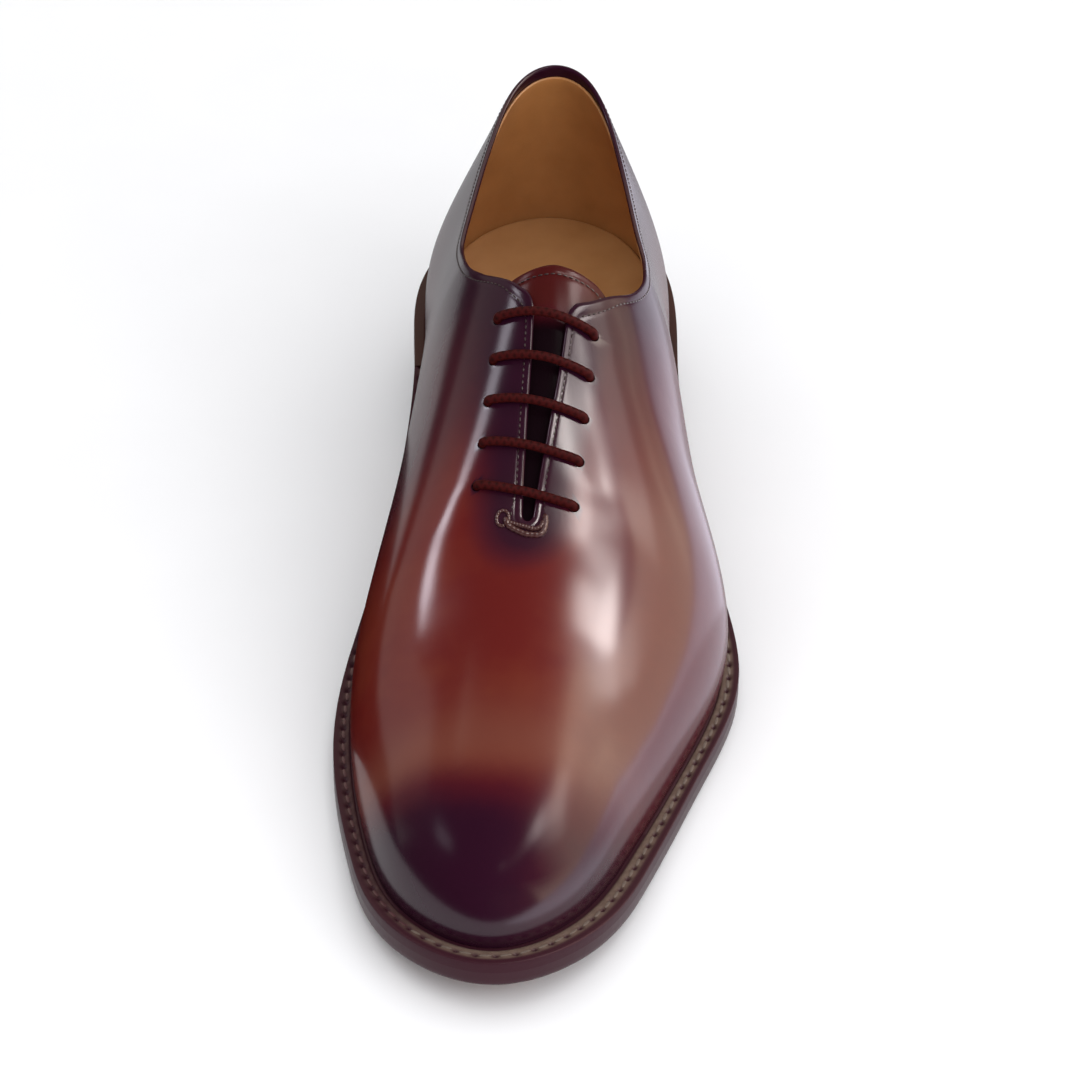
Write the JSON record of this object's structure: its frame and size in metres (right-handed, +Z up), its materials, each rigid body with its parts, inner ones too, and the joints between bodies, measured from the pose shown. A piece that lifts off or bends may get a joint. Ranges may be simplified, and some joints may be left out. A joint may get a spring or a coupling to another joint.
{
  "type": "dress shoe",
  "caption": "Left wholecut oxford dress shoe with a hollow calf upper, closed lacing, tongue, insole, welted leather outsole and stacked heel with a rubber top piece.",
  "frame": {"origin": "middle of the sole's plan box, on the floor", "axes": "+Y from toe to heel along the shoe, +X to the lateral side, +Z up"},
  "size_m": [0.1081, 0.3077, 0.1042],
  "materials": {
    "upper": "polished, burnished dark at toe and throat",
    "tongue": "smooth",
    "insole": "natural tan",
    "welt": "stained, waxed",
    "outsole": "stained, polished",
    "heel": "stained, waxed edge",
    "top_piece": "matt black",
    "lace": "waxed cotton"
  },
  "bodies": {
    "root": {"upper": "upper", "tongue": "tongue", "insole": "insole", "welt": "welt", "heel_rand": "welt", "outsole": "outsole", "heel_stack": "heel", "heel_top_piece": "top_piece", "lace_bar_1": "lace", "lace_bar_2": "lace", "lace_bar_3": "lace", "lace_bar_4": "lace", "lace_bar_5": "lace"}
  },
  "joints": []
}
